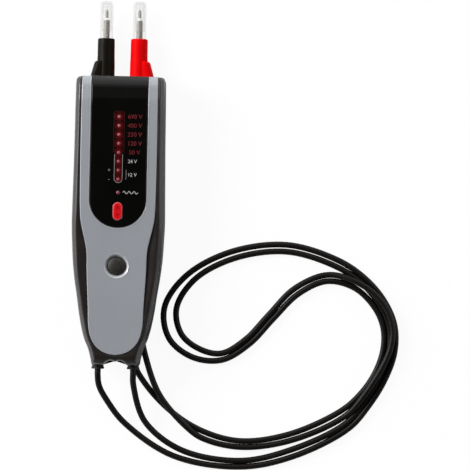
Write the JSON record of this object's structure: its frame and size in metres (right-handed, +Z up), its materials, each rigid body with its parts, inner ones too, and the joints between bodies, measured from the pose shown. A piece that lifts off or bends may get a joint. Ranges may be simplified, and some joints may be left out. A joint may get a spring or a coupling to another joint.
{
  "type": "two-pole voltage tester",
  "caption": "Slim two-pole voltage tester with lamp window, push button, long leads and capped probes stowed side by side in the back.",
  "frame": {"origin": "middle of the footprint of case and probes, on the table that the back rails rest on; the free leads are left out of it", "axes": "+X across the case to its right, +Y along the case towards the probe tips, +Z up out of the front"},
  "size_m": [0.2147, 0.3056, 0.0339],
  "materials": {
    "shell_plastic": "fine matt",
    "frame_plastic": "satin",
    "silver_plastic": "satin",
    "window_plastic": "high gloss",
    "seal_rubber": "matt",
    "screw_steel": "satin",
    "cover_plastic": "fine matt",
    "cell_wrap": "satin",
    "contact_metal": "satin",
    "board_green": "satin",
    "lamp_red": "clear",
    "lens_red": "clear",
    "box_white": "matt",
    "part_black": "matt",
    "part_blue": "matt",
    "clamp_steel": "satin",
    "wire_red": "satin",
    "boot_rubber": "matt",
    "button_rubber": "satin",
    "lead_rubber": "satin",
    "black_plastic": "satin",
    "red_plastic": "satin",
    "tip_metal": "polished",
    "clear_plastic": "clear"
  },
  "bodies": {
    "case": {"rear_shell": "shell_plastic", "bumper_frame": "frame_plastic", "front_panel": "silver_plastic", "display_window": "window_plastic", "case_seal": "seal_rubber", "case_screws": "screw_steel", "battery_cover": "cover_plastic", "cover_screw": "screw_steel", "battery_cells": "cell_wrap", "battery_contacts": "contact_metal", "circuit_board": "board_green", "voltage_leds": "lamp_red", "capsule_lens": "lens_red", "lamp_box": "box_white", "tact_switch": "part_black", "buzzer": "part_black", "main_chip": "part_black", "resistor_row": "part_blue", "cord_clamp": "clamp_steel", "lead_wires": "wire_red", "exit_boot_left": "boot_rubber", "exit_boot_right": "boot_rubber", "lead_black": "lead_rubber", "lead_red": "lead_rubber", "lead_tail_black": "lead_rubber", "lead_tail_red": "lead_rubber"},
    "button": {"push_button": "button_rubber"},
    "probe_black": {"probe_black_handle": "black_plastic", "probe_black_tip": "tip_metal", "probe_black_resistor": "part_blue", "probe_black_boot": "boot_rubber"},
    "tip_cap_black": {"cap_black": "clear_plastic"},
    "probe_red": {"probe_red_handle": "red_plastic", "probe_red_tip": "tip_metal", "probe_red_resistor": "part_blue", "probe_red_boot": "boot_rubber"},
    "tip_cap_red": {"cap_red": "clear_plastic"}
  },
  "joints": [
    {"name": "button_press", "type": "slide", "parent": "case", "child": "button", "axis": [0, 0, -1], "range_m": [0, 0.001], "stiffness_N_per_m": 600, "springref_m": -0.0008},
    {"name": "probe_black_slide", "type": "slide", "parent": "case", "child": "probe_black", "axis": [0, 1, 0], "range_m": [0, 0.02], "deforming": ["lead_tail_black"]},
    {"name": "cap_black_slide", "type": "slide", "parent": "probe_black", "child": "tip_cap_black", "axis": [0, 1, 0], "range_m": [0, 0.026]},
    {"name": "probe_red_slide", "type": "slide", "parent": "case", "child": "probe_red", "axis": [0, 1, 0], "range_m": [0, 0.02], "deforming": ["lead_tail_red"]},
    {"name": "cap_red_slide", "type": "slide", "parent": "probe_red", "child": "tip_cap_red", "axis": [0, 1, 0], "range_m": [0, 0.026]}
  ]
}
